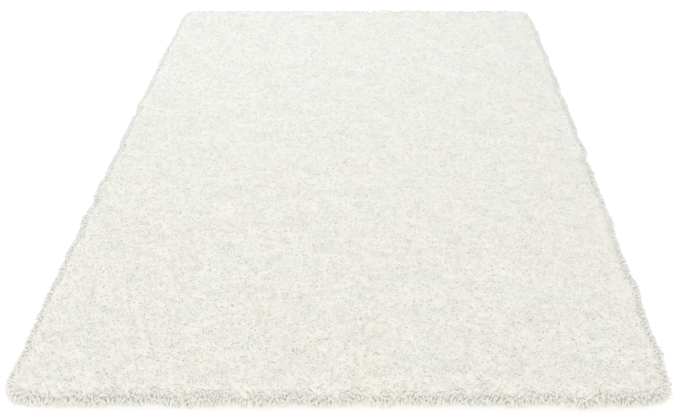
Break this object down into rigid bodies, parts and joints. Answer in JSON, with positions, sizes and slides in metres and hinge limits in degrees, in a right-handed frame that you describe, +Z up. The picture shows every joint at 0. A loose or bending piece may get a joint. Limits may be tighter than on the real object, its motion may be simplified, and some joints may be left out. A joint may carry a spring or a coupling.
{
  "type": "shag rug",
  "caption": "Rectangular shag rug lying flat with its pile up, its rounded rim of tufts leaning out over a flat underside.",
  "frame": {"origin": "on the floor, under the middle of the rug", "axes": "+X across the rug's width, +Y along its length, +Z up out of the pile"},
  "size_m": [1.271, 1.756, 0.0444],
  "materials": {
    "pile_yarn": "matt ivory yarn, soft and curly"
  },
  "bodies": {
    "root": {"shag_rug": "pile_yarn"}
  },
  "joints": []
}
